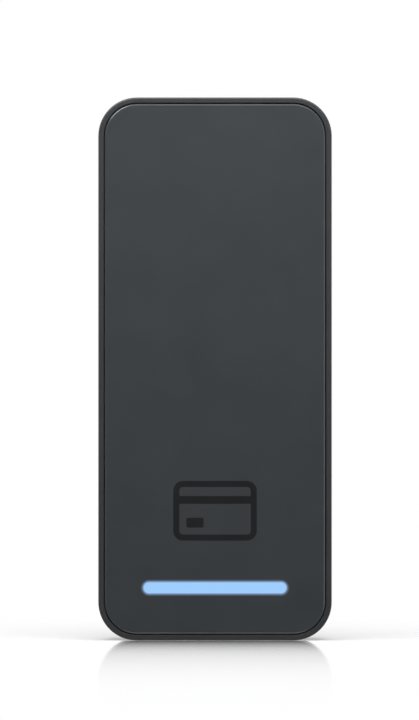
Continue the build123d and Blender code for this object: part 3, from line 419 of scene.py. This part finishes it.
def zinc_sheet():
    """Galvanised sheet: grains of zinc that differ in tone and gloss, and faint rolling marks."""
    f = Finish("zinc_sheet", (0.45, 0.46, 0.47), 0.4, 1.0)
    grain = f.axis("X", f.cells(3.2 * MM, output="Color"))
    rolled = f.noise(0.4 * MM, 3.0, 0.6, f.moved(scale=(1.0, 1.0, 0.05)))
    tone = f.math("ADD", f.math("MULTIPLY", grain, 0.65), f.math("MULTIPLY", rolled, 0.35))
    f.paint(f.blend(tone, (0.36, 0.37, 0.385), (0.56, 0.57, 0.575)))
    f.gloss(f.ramp(grain, 0.0, 1.0, 0.3, 0.52))
    f.relief(grain, 2e-6).relief(rolled, 3e-6)
    return f.material


def circuit_mask():
    """Green solder mask over copper: straight tracks that jog, and scattered plated holes."""
    f = Finish("solder_mask", (0.008, 0.09, 0.035), 0.28)
    brick = f.add("ShaderNodeTexBrick", offset=0.37, squash=1.6, offset_frequency=3, squash_frequency=2)
    brick.inputs["Scale"].default_value = 1.0
    brick.inputs["Mortar Size"].default_value = 0.12 * MM
    brick.inputs["Mortar Smooth"].default_value = 0.2
    brick.inputs["Brick Width"].default_value = 3.4 * MM
    brick.inputs["Row Height"].default_value = 0.85 * MM
    f.join(f.moved(turn=(np.pi / 2, 0, 0)), brick.inputs["Vector"])
    track = f.math("MULTIPLY", brick.outputs["Fac"], f.ramp(f.noise(6 * MM), 0.42, 0.5))
    holes = f.ramp(f.cells(2.3 * MM), 0.14, 0.2, 1.0, 0.0)
    green = f.blend(f.math("MULTIPLY", track, 0.7), f.shaded(0.12, 4 * MM), (0.04, 0.21, 0.08))
    f.paint(f.blend(holes, green, (0.5, 0.38, 0.17)))
    f.uneven_gloss(5 * MM, 3.0, 0.2, 0.36)
    f.relief(track, 1.2e-5).relief(holes, -2e-5)
    return f.material


def ribbon():
    """Flat cable: seven copper conductors under amber film."""
    f = Finish("ribbon", (0.62, 0.28, 0.05), 0.28)
    low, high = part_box("light_cable")
    conductors = 7
    across = f.math("DIVIDE", f.math("SUBTRACT", f.axis("X"), low.x), (high.x - low.x) / conductors)
    band = f.math("ABSOLUTE", f.math("SUBTRACT", f.math("FRACT", across), 0.5))
    copper = f.ramp(band, 0.22, 0.3, 1.0, 0.0)
    f.paint(f.blend(copper, f.shaded(0.1, 2 * MM), (0.72, 0.4, 0.16)))
    f.uneven_gloss(1.5 * MM, 3.0, 0.2, 0.36)
    f.relief(copper, 1e-5)
    return f.material


def blank_label():
    """Silver label with nothing on it but a thin printed frame."""
    f = moulded("label_film", (0.60, 0.61, 0.61), 0.34, 0.2 * MM, 1e-6)
    gap = inside_edge(f, "rating_label", LABEL_CORNER)
    past_outside = f.ramp(gap, 0.5 * MM, 0.52 * MM)
    before_inside = f.ramp(gap, 0.68 * MM, 0.7 * MM, 1.0, 0.0)
    line = f.math("MULTIPLY", past_outside, before_inside)
    f.paint(f.blend(line, f.shaded(0.05, 9 * MM), (0.05, 0.05, 0.05)))
    return f.material


def woven_vent():
    """Fine woven film: threads over and under each other."""
    f = Finish("vent_film", (0.8, 0.8, 0.79), 0.75)
    pitch = 0.16 * MM
    waves = [f.math("SINE", f.math("MULTIPLY", f.axis(axis), TAU / pitch)) for axis in "XZ"]
    weave = f.math("MULTIPLY", *waves)
    f.paint(f.blend(f.ramp(weave, -1.0, 1.0), (0.5, 0.5, 0.49), (0.82, 0.82, 0.81)))
    f.uneven_gloss(1 * MM, 2.0, 0.65, 0.85)
    f.relief(weave, 2e-5)
    return f.material


def knurled_brass():
    """Brass insert: bright turned brass with straight knurling."""
    f = bare_metal("brass", (0.8, 0.62, 0.3), 0.25)
    wave = f.add("ShaderNodeTexWave", wave_type="BANDS", bands_direction="X")
    wave.inputs["Scale"].default_value = 1 / (0.8 * MM)
    f.join(f.place, wave.inputs["Vector"])
    f.relief(wave.outputs["Fac"], 4e-5)
    return f.material


def two_tone(name, plain, metal, roughness):
    """A small part of plastic or ceramic and of metal, told apart by its part value."""
    f = Finish(name, plain, roughness)
    share = f.math("GREATER_THAN", f.part_value(), 0.5)
    speck = f.noise(0.2 * MM, 3.0)
    tones = [f.blend(speck, [c * 0.85 for c in colour], colour) for colour in (plain, metal)]
    f.paint(f.blend(share, *tones))
    f.join(share, f.shader.inputs["Metallic"])
    f.gloss(f.ramp(speck, 0.3, 0.7, roughness - 0.08, roughness + 0.08))
    f.relief(speck, 2e-6)
    return f.material


def symbol_inlay():
    """The card symbol's ink, a darker shade of the panel's film."""
    f = moulded("symbol_inlay", (0.0115, 0.0128, 0.014), 0.40, 0.09 * MM, 1e-6)
    f.set(**{"Specular IOR Level": 0.42})
    return f.material


finishes = {
    "dark_case": case_moulding(),
    "panel_film": face_panel(),
    "lit_lens": lit_lens(),
    "symbol_ink": symbol_inlay(),
    "foam_tape": moulded("foam_tape", (0.02, 0.02, 0.02), 0.9, 0.2 * MM, 2e-5).material,
    "diffuser_film": moulded("diffuser_film", (0.82, 0.84, 0.85), 0.6, 0.1 * MM, 3e-6).material,
    "white_plastic": moulded("reflector_white", (0.8, 0.8, 0.79), 0.5, 0.15 * MM, 3e-6).material,
    "lamp_white": moulded("lamp_body", (0.83, 0.8, 0.6), 0.35, 0.1 * MM, 1e-6).material,
    "steel_screw": bare_metal("screw_steel", (0.36, 0.36, 0.37), 0.35).material,
    "stainless": bare_metal("stainless", (0.62, 0.61, 0.6), 0.26).material,
    "copper_trace": bare_metal("copper", (0.8, 0.43, 0.26), 0.3).material,
    "ferrite": moulded("ferrite", (0.05, 0.046, 0.043), 0.7, 0.12 * MM, 6e-6).material,
    "black_plastic": moulded("black_moulding", (0.016, 0.016, 0.017), 0.5, 0.14 * MM, 3e-6).material,
    "gold_plate": bare_metal("gold_plate", (0.9, 0.68, 0.3), 0.22).material,
    "chip_black": moulded("chip_resin", (0.02, 0.02, 0.021), 0.55, 0.08 * MM, 3e-6).material,
    "crystal_can": bare_metal("tinned_can", (0.7, 0.7, 0.68), 0.3).material,
    "antenna_ceramic": moulded("ceramic", (0.68, 0.7, 0.67), 0.4, 0.2 * MM, 2e-6).material,
    "capacitor_can": bare_metal("aluminium_can", (0.75, 0.75, 0.76), 0.3).material,
    "ribbon_film": ribbon(),
    "connector_plastic": moulded("connector", (0.74, 0.69, 0.58), 0.5, 0.15 * MM, 2e-6).material,
    "brass": knurled_brass(),
    "seal_rubber": moulded("seal_rubber", (0.018, 0.018, 0.018), 0.75, 0.12 * MM, 5e-6).material,
    "label_film": blank_label(),
    "vent_film": woven_vent(),
    "spring_wire": bare_metal("spring_wire", (0.6, 0.59, 0.57), 0.25).material,
    "button_plastic": moulded("button", (0.35, 0.35, 0.35), 0.45, 0.14 * MM, 3e-6).material,
    "solder_mask": circuit_mask(),
    "galvanised_steel": zinc_sheet(),
}
slots = {s["node"]: s["material_slot"] for s in frame["record"]["subparts"]}
for name, node in frame["nodes"].items():
    node.data.materials.clear()
    node.data.materials.append(finishes[slots[name]])


# ---- Screws ---------------------------------------------------------------------------------


HEAD_RADIUS, HEAD_HEIGHT, SHANK_RADIUS = 1.9 * MM, 1.4 * MM, 1.0 * MM


def pan_screw_rows(length, sides):
    """A pan head with a tapered cross recess, above 0, and a cut thread below it that ends in a cone."""
    floor = rounding = 0.42 * HEAD_HEIGHT
    recess = cross_recess(0.56 * HEAD_RADIUS, 0.13 * HEAD_RADIUS, sides)
    rows = [(0, floor), (recess * 0.45, floor), (recess * 0.94, HEAD_HEIGHT * 0.95), (recess, HEAD_HEIGHT)]
    inner, lower = HEAD_RADIUS - rounding, HEAD_HEIGHT - rounding
    turn = np.linspace(0, np.pi / 2, 7)
    rows += [(inner + rounding * np.sin(a), lower + rounding * np.cos(a)) for a in turn]
    rows += [(HEAD_RADIUS, 0), (SHANK_RADIUS * 0.8, 0)]
    point, pitch = 0.6 * MM, 0.62 * MM
    rows += thread(SHANK_RADIUS * 0.74, SHANK_RADIUS, length - point, pitch, sides)
    return rows + [(SHANK_RADIUS * 0.35, -length + 0.1 * MM), (0, -length)]


def set_of_screws(name, node, seats, length, along):
    """Screws of one kind as one piece, standing for a node; seats are their head seats' middles."""
    sides = 48
    rows = pan_screw_rows(length, sides)
    piece = make_piece(name, [turned(rows, seat, along, sides) for seat in seats])
    stand_for(piece, "reader", node)


def seats_in(node, from_back, ends=True, middle=False):
    """Head seats in a node's box, one head radius in at both sides: at its ends, its middle or both."""
    low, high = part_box(node)
    y = high.y - HEAD_HEIGHT if from_back else low.y + HEAD_HEIGHT
    heights = [low.z + HEAD_RADIUS, high.z - HEAD_RADIUS] if ends else []
    if middle:
        heights.append((low.z + high.z) / 2)
    return [(x, y, z) for x in (low.x + HEAD_RADIUS, high.x - HEAD_RADIUS) for z in heights]


seats = seats_in("cover_screws", from_back=True, middle=True)
set_of_screws("case_screws", "cover_screws", seats, 6.0 * MM, TO_BACK)
seats = seats_in("board_screws", from_back=False)
set_of_screws("main_board_screws", "board_screws", seats, 3.4 * MM, TO_FRONT)
seats = seats_in("light_board_screws", from_back=True, ends=False, middle=True)
set_of_screws("lamp_board_screws", "light_board_screws", seats, 3.4 * MM, TO_BACK)


def lock_screw_piece():
    """Security screw: six-lobed recess with a pin, a seal groove, a machine thread and a bevelled tip."""
    sides = 96
    low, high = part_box("lock_screw")
    head, seat, radius, pitch = 2.75 * MM, 2.0 * MM, 1.5 * MM, 0.5 * MM
    length = high.z - low.z - seat
    recess = lobed_recess(1.15 * MM, 0.42 * MM, sides)
    pin, deep, bevel, groove = 0.32 * MM, 1.2 * MM, 0.3 * MM, 0.36 * MM
    rows = [(0, seat - 0.06 * MM), (pin * 0.75, seat - 0.06 * MM)]
    rows += [(pin, seat - 0.14 * MM), (pin, seat - deep)]
    rows += [(recess * 0.97, seat - deep), (recess, seat - 0.1 * MM), (recess + 0.08 * MM, seat)]
    turn = np.linspace(0, np.pi / 2, 6)
    rows += [(head - bevel + bevel * np.sin(a), seat - bevel + bevel * np.cos(a)) for a in turn]
    groove_top, groove_foot = 1.24 * MM, 0.76 * MM
    rows += [(head, groove_top), (head - groove, groove_top)]
    rows += [(head - groove, groove_foot), (head, groove_foot)]
    rows += [(head, 0.06 * MM), (head - 0.06 * MM, 0), (radius * 0.86, 0)]
    rows += thread(radius * 0.82, radius, length - 0.5 * MM, pitch, sides)
    rows += [(radius * 0.62, -length), (0, -length)]
    centre = ((low.x + high.x) / 2, (low.y + high.y) / 2, low.z + seat)
    piece = make_piece("security_screw", [turned(rows, centre, DOWN, sides)])
    stand_for(piece, "lock", "lock_screw")


lock_screw_piece()


# ---- Tamper spring --------------------------------------------------------------------------


def spring_piece():
    """A wound wire with a closed coil at each end: turns of a helix whose pitch is small, large, small."""
    low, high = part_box("tamper_spring")
    wire = 0.3 * MM
    radius = (high.x - low.x - wire) / 2
    middle = box_middle("tamper_spring")
    turns, steps, shut = 5.5, 40, 0.75
    t = np.linspace(0, 1, int(turns * steps))
    eased = np.clip((t * turns - shut) / (turns - 2 * shut), 0, 1)
    closed = np.minimum(t * turns, shut) + np.clip(t * turns - (turns - shut), 0, shut)
    room = high.y - low.y - wire
    flat = wire * 0.9
    y = high.y - wire / 2 - closed * flat - eased * (room - 2 * shut * flat)
    out = np.stack([np.cos(TAU * turns * t), 0 * t, np.sin(TAU * turns * t)], -1)
    path = middle + radius * out + y[:, None] * Y
    piece = make_piece("plunger_spring", [tube(path, out, wire, wire, 12)])
    piece.data.materials.append(finishes[slots["tamper_spring"]])
    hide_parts("tamper_spring")
    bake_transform(piece)


spring_piece()


# ---- Network socket -------------------------------------------------------------------------


def socket_wires():
    """Eight sprung wires: each comes down the front wall, turns under and slopes back up."""
    low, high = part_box("network_jack_contacts")
    count, wire, wide = 8, 0.3 * MM, 0.35 * MM
    pitch = (high.x - low.x - wide) / (count - 1)
    bend = 0.35 * MM
    front, tail = low.y + wire / 2 + 0.02 * MM, high.y - wire / 2
    foot, top = low.z + bend + wire / 2, high.z
    turn = np.linspace(np.pi, TAU - 0.3, 9)
    round_y = front + bend + bend * np.cos(turn)
    round_z = foot + bend * np.sin(turn)
    slope_y = np.linspace(round_y[-1] + 0.05 * MM, tail, 5)
    slope_z = np.linspace(round_z[-1] + 0.2 * MM, top, 5)
    y = np.concatenate([[front, front, front], round_y, slope_y, [tail]])
    z = np.concatenate([[top, top, foot + 1.2 * MM], round_z, slope_z, [top]])
    # A rise of a thousandth of a millimetre gives a direction to the points that share a place.
    z = z + np.linspace(0, 1e-6, len(z))
    wires = []
    for i in range(count):
        x = low.x + wide / 2 + i * pitch
        path = np.stack([np.full_like(y, x), y, z], -1)
        wires.append(tube(path, X, 0.34 * MM, wire, 8))
    piece = make_piece("socket_wires", wires, smooth=60.0)
    stand_for(piece, "reader", "network_jack_contacts")


socket_wires()


# ---- Parts on the boards --------------------------------------------------------------------


def lamps():
    """Lamps of the light bar: a white cup with metal ends and a rounded yellow lens in it."""
    low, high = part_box("light_board_leds")
    wide, tall, count = 1.6 * MM, 0.8 * MM, 8
    grids, parts = [], []
    for x in np.linspace(low.x + wide / 2, high.x - wide / 2, count):
        foot = np.array([x, high.y, (low.z + high.z) / 2])
        grids.append(pillow(foot, wide * 0.8, tall, 0.5 * MM, 0.12 * MM, 0.05 * MM))
        grids.append(pillow(foot - 0.3 * MM * Y, wide * 0.6, tall * 0.75, 0.3 * MM, 0.2 * MM, 0.14 * MM))
        parts += [0.0, 0.3]
        for side in (-1, 1):
            end = foot + side * wide * 0.44 * X
            grids.append(pillow(end, wide * 0.12, tall * 0.98, 0.38 * MM, 0.05 * MM, 0.03 * MM, sides=12))
            parts.append(1.0)
    piece = make_piece("lamps", grids, parts=parts)
    stand_for(piece, "reader", "light_board_leds", lamp_finish())


def lamp_finish():
    """Lamp: white cup, yellow lens and tinned ends, told apart by the part value."""
    f = Finish("lamp", (0.8, 0.8, 0.78), 0.35)
    is_metal = f.math("GREATER_THAN", f.part_value(), 0.6)
    is_lens = f.math("GREATER_THAN", f.part_value(), 0.15)
    white = f.blend(f.noise(0.2 * MM), (0.74, 0.74, 0.72), (0.84, 0.84, 0.82))
    yellow = f.blend(f.noise(0.1 * MM), (0.78, 0.55, 0.06), (0.9, 0.72, 0.15))
    tinned = f.blend(f.noise(0.15 * MM), (0.6, 0.6, 0.58), (0.75, 0.75, 0.73))
    f.paint(f.blend(is_metal, f.blend(is_lens, white, yellow), tinned))
    f.join(is_metal, f.shader.inputs["Metallic"])
    f.uneven_gloss(0.3 * MM, 2.0, 0.25, 0.42)
    return f.material


lamps()


def passives():
    """Chip capacitors and resistors, one row and two columns: a fired body between two tinned ends."""
    low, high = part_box("chip_passives")
    thick = high.y - low.y
    row_z, row_start, row_pitch = 40.9 * MM, -13.5 * MM, 1.8 * MM
    column_x = (low.x + 0.5 * MM, high.x - 0.5 * MM)
    column_z = np.linspace(26 * MM, 50 * MM, 13)
    row = [(row_start + row_pitch * i, row_z, False) for i in range(16)]
    columns = [(x, z, True) for x in column_x for z in column_z]
    grids, parts = [], []
    for x, z, flat in row + columns:
        foot = np.array([x, high.y, z])
        lie = X if flat else Z
        body = (0.7, 0.54) if flat else (0.54, 0.7)
        end = (0.2, 0.6) if flat else (0.6, 0.2)
        grids.append(pillow(foot, body[0] * MM, body[1] * MM, thick * 0.94, 0.04 * MM, 0.03 * MM, sides=8))
        parts.append(0.0)
        for side in (-1, 1):
            place = foot + side * 0.4 * MM * lie
            grids.append(pillow(place, end[0] * MM, end[1] * MM, thick, 0.05 * MM, 0.05 * MM, sides=8))
            parts.append(1.0)
    piece = make_piece("chip_parts", grids, parts=parts)
    finish = two_tone("chip_parts", (0.33, 0.22, 0.13), (0.7, 0.7, 0.68), 0.36)
    stand_for(piece, "reader", "chip_passives", finish)


passives()


def processor_leads():
    """Bent leads on the four sides of the main chip: out, down and out again on the board."""
    low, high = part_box("processor")
    middle = box_middle("processor")
    half, board = (high.x - low.x) / 2, high.y
    run = np.array([-0.3, 0.0, 0.22, 0.36, 0.46, 0.6, 0.95]) * MM
    rise = np.array([0.5, 0.5, 0.49, 0.36, 0.16, 0.065, 0.06]) * MM
    leads = []
    for out, across in ((X, Z), (-X, Z), (Z, X), (-Z, X)):
        for shift in np.linspace(-0.8, 0.8, 11) * half:
            path = middle + (half + run)[:, None] * out + shift * across + (board - rise)[:, None] * Y
            leads.append(tube(path, across, 0.32 * MM, 0.12 * MM, 4))
    piece = make_piece("processor_leads", leads, smooth=30.0)
    settle(piece, "reader", finishes["crystal_can"])


processor_leads()


def capacitor_cans():
    """Two aluminium capacitors: a square foot, a can with a rolled groove, and a crown scored across."""
    low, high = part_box("capacitors")
    board, top = high.y, high.y - low.y
    foot_side, radius, foot_height = 4.3 * MM, 2.0 * MM, 0.5 * MM
    turn = np.linspace(0, np.pi / 2, 6)
    grids, parts = [], []
    for x in (low.x + foot_side / 2, high.x - foot_side / 2):
        foot = np.array([x, board, (low.z + high.z) / 2])
        grids.append(pillow(foot, foot_side, foot_side, foot_height, 0.6 * MM, 0.1 * MM))
        rows = [(0, foot_height * 0.5), (radius - 0.1 * MM, foot_height * 0.5), (radius, 0.62 * MM)]
        groove = np.linspace(0, TAU, 9)
        rows += [(radius - 0.09 * MM * (1 - np.cos(g)), (0.95 + 0.5 * g / TAU) * MM) for g in groove]
        rows += [(radius - 0.3 * MM * (1 - np.cos(a)), top - 0.3 * MM * (1 - np.sin(a))) for a in turn]
        score = cross_recess(1.4 * MM, 0.07 * MM, 48)
        rows += [(score + 0.04 * MM, top), (score * 0.96, top - 0.05 * MM), (0, top - 0.05 * MM)]
        grids.append(turned(rows, foot))
        parts += [0.0, 1.0]
    piece = make_piece("capacitor_cans", grids, parts=parts)
    finish = two_tone("capacitor_can_and_foot", (0.02, 0.02, 0.02), (0.72, 0.72, 0.73), 0.3)
    stand_for(piece, "reader", "capacitors", finish)


capacitor_cans()


# ---- Floor, light and camera ----------------------------------------------------------------

floor_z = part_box("housing")[0].z
face_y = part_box("front_panel")[0].y


def polished_share(f):
    """How much of the floor is a mirror: most just ahead of the face, fading away from it and beside it."""
    ahead = f.math("SUBTRACT", face_y, f.axis("Y"))
    fade_length = 64 * MM
    fade = f.math("EXPONENT", f.math("MULTIPLY", ahead, -1 / fade_length))
    glance = f.add("ShaderNodeFresnel")
    glance.inputs["IOR"].default_value = 1.5
    glance = f.math("MULTIPLY", f.math("POWER", glance.outputs[0], 1.5), 1.4, clamp=True)
    beside = f.ramp(f.math("ABSOLUTE", f.axis("X")), 30 * MM, 60 * MM, 1.0, 0.0, smooth=True)
    share = f.math("MULTIPLY", fade, f.ramp(ahead, 0.0, 0.1 * MM, 0.0, 0.98))
    return f.math("MULTIPLY", f.math("MULTIPLY", share, beside), glance)


def two_shaders(f, share, first, second):
    """One shader where the share is 0 and the other where it is 1."""
    mix = f.add("ShaderNodeMixShader")
    for source, socket in zip((share, first, second), mix.inputs):
        f.join(source, socket)
    return mix.outputs[0]


def floor_finish():
    """Floor: shaded near the reader, plain white away from it, and clear when seen from below."""
    f = Finish("floor_white", (0.8, 0.8, 0.8), 1.0)
    f.set(**{"Specular IOR Level": 0.0, "Emission Color": WHITE})
    away = f.add("ShaderNodeVectorMath", operation="LENGTH")
    f.join(f.place, away.inputs[0])
    far = f.ramp(away.outputs["Value"], 50 * MM, 160 * MM, smooth=True)
    f.paint(f.blend(far, (0.38, 0.38, 0.38), (0.0, 0.0, 0.0)))
    f.join(f.ramp(far, 0.0, 1.0, 0.33, 1.0), f.shader.inputs["Emission Strength"])
    polished = f.add("ShaderNodeBsdfGlossy")
    polished.inputs["Color"].default_value = WHITE
    polished.inputs["Roughness"].default_value = 0.05
    above = two_shaders(f, polished_share(f), f.shader.outputs[0], polished.outputs[0])
    underneath = f.add("ShaderNodeNewGeometry").outputs["Backfacing"]
    clear = f.add("ShaderNodeBsdfTransparent").outputs[0]
    out = [n for n in f.tree.nodes if n.type == "OUTPUT_MATERIAL"][0]
    f.join(two_shaders(f, underneath, above, clear), out.inputs["Surface"])
    return f.material


def make_floor():
    """A wide flat sheet under the reader, which gives the reader no light and no mirror image."""
    side, steps = 6.0, 9
    u, v = np.meshgrid(np.linspace(-side, side, steps), np.linspace(-side, side, steps))
    points = np.stack([u, v, np.full_like(u, floor_z)], -1)
    floor = make_piece("floor", [points], around=False)
    floor.data.materials.append(floor_finish())
    floor.visible_diffuse = floor.visible_glossy = False


def soft_box(name, place, size, power, only_gloss=False):
    """A rectangular soft light at a place, turned towards the reader; some light only the gloss."""
    light = bpy.data.lights.new(name, "AREA")
    light.shape, light.size, light.size_y, light.energy = "RECTANGLE", size[0], size[1], power
    lamp = bpy.data.objects.new(name, light)
    bpy.context.scene.collection.objects.link(lamp)
    lamp.location = place
    lamp.visible_diffuse = not only_gloss
    lamp.rotation_euler = (-Vector(place)).to_track_quat("-Z", "Y").to_euler()


def make_world():
    """White to the camera, behind the reader and beside it; dim in front; bright straight below."""
    world = bpy.data.worlds.new("studio")
    bpy.context.scene.world = world
    world.use_nodes = True
    nodes, links = world.node_tree.nodes, world.node_tree.links
    parts = nodes.new("ShaderNodeSeparateXYZ")
    links.new(nodes.new("ShaderNodeTexCoord").outputs["Generated"], parts.inputs[0])

    def ramp(axis, low, high, to_low, to_high):
        node = nodes.new("ShaderNodeMapRange")
        for socket, number in zip(MAP_RANGE_SOCKETS, (low, high, to_low, to_high)):
            node.inputs[socket].default_value = number
        links.new(parts.outputs[axis], node.inputs["Value"])
        return node.outputs["Result"]

    def brighter(first, second):
        node = nodes.new("ShaderNodeMath")
        node.operation = "MAXIMUM"
        links.new(first, node.inputs[0])
        links.new(second, node.inputs[1])
        return node.outputs[0]

    dim_in_front = ramp("Y", -0.7, -0.1, to_low=0.04, to_high=1.0)
    bright_below = ramp("Z", -0.97, -0.8, to_low=2.8, to_high=0.0)
    to_camera = nodes.new("ShaderNodeLightPath").outputs["Is Camera Ray"]
    sky = nodes["Background"]
    sky.inputs["Color"].default_value = WHITE
    links.new(brighter(to_camera, brighter(dim_in_front, bright_below)), sky.inputs["Strength"])


make_floor()
make_world()
soft_box("overhead", (-0.02, -0.20, 0.40), (0.5, 0.34), 3.9)
soft_box("corner", (-0.33, -0.03, 0.47), (0.3, 0.3), 2.4, only_gloss=True)
soft_box("front", (0.3, -1.2, 1.0), (0.9, 0.9), 3.0)
soft_box("side", (0.85, 0.0, 0.0), (0.5, 0.5), 1.1, only_gloss=True)

camera_side, camera_distance, camera_height = -1.35 * MM, 1.7572, 2.2 * MM
view = bpy.data.cameras.new("camera")
view.lens, view.sensor_width, view.clip_end = 360.0, 36.0, 20.0
camera = bpy.data.objects.new("camera", view)
bpy.context.scene.collection.objects.link(camera)
camera.location = (camera_side, face_y - camera_distance, camera_height)
camera.rotation_euler = (np.pi / 2, 0, 0)
bpy.context.scene.camera = camera
bpy.context.scene.view_settings.view_transform = "Standard"
